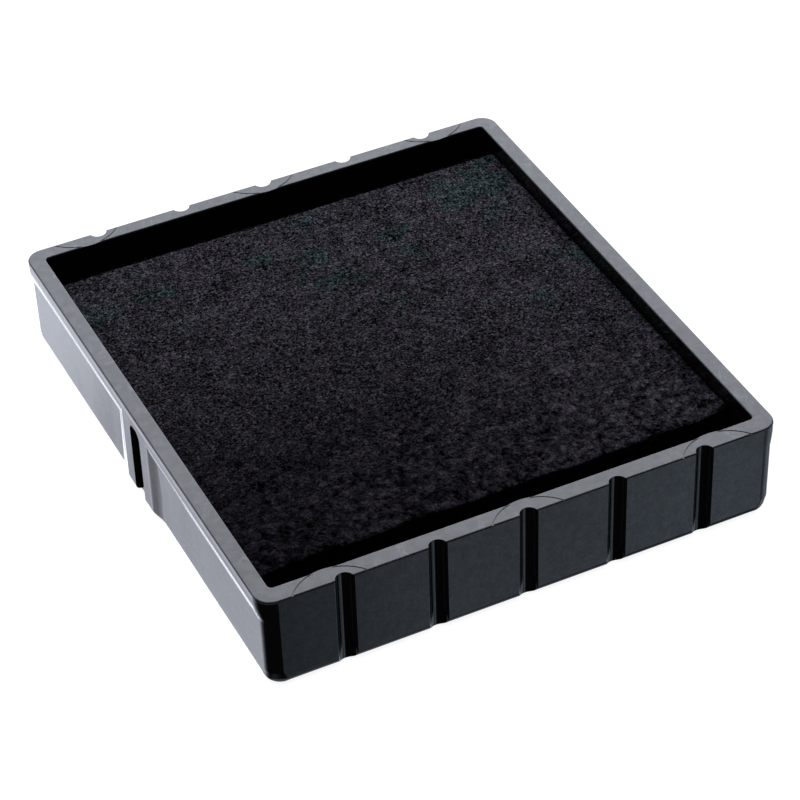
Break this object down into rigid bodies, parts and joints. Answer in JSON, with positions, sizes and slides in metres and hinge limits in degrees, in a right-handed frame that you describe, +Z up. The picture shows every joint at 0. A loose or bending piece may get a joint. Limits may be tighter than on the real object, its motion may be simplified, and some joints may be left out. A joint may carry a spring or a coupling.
{
  "type": "ink pad cassette",
  "caption": "Open moulded cassette with a black inking felt on a soft ink reservoir, finger grooves at both ends and a detent boss on each side, for a square self-inking stamp.",
  "frame": {"origin": "centre of the cassette's underside", "axes": "+Z up towards the open face with the felt, +Y from the front grooved end to the back grooved end, +X to the right"},
  "size_m": [0.05, 0.0552, 0.0099],
  "materials": {
    "tray_plastic": "glossy moulded plastic, satin on the rim",
    "reservoir_foam": "open-cell absorbent layer soaked with black ink",
    "inked_felt": "nonwoven felt with loose fibres, damp with black ink"
  },
  "bodies": {
    "cassette": {"tray": "tray_plastic", "ink_reservoir": "reservoir_foam"},
    "felt": {"inking_felt": "inked_felt"}
  },
  "joints": [
    {"name": "felt_press", "type": "slide", "parent": "cassette", "child": "felt", "axis": [0, 0, -1], "range_m": [0, 0.0008], "stiffness_N_per_m": 150, "deforming": ["ink_reservoir"]}
  ]
}
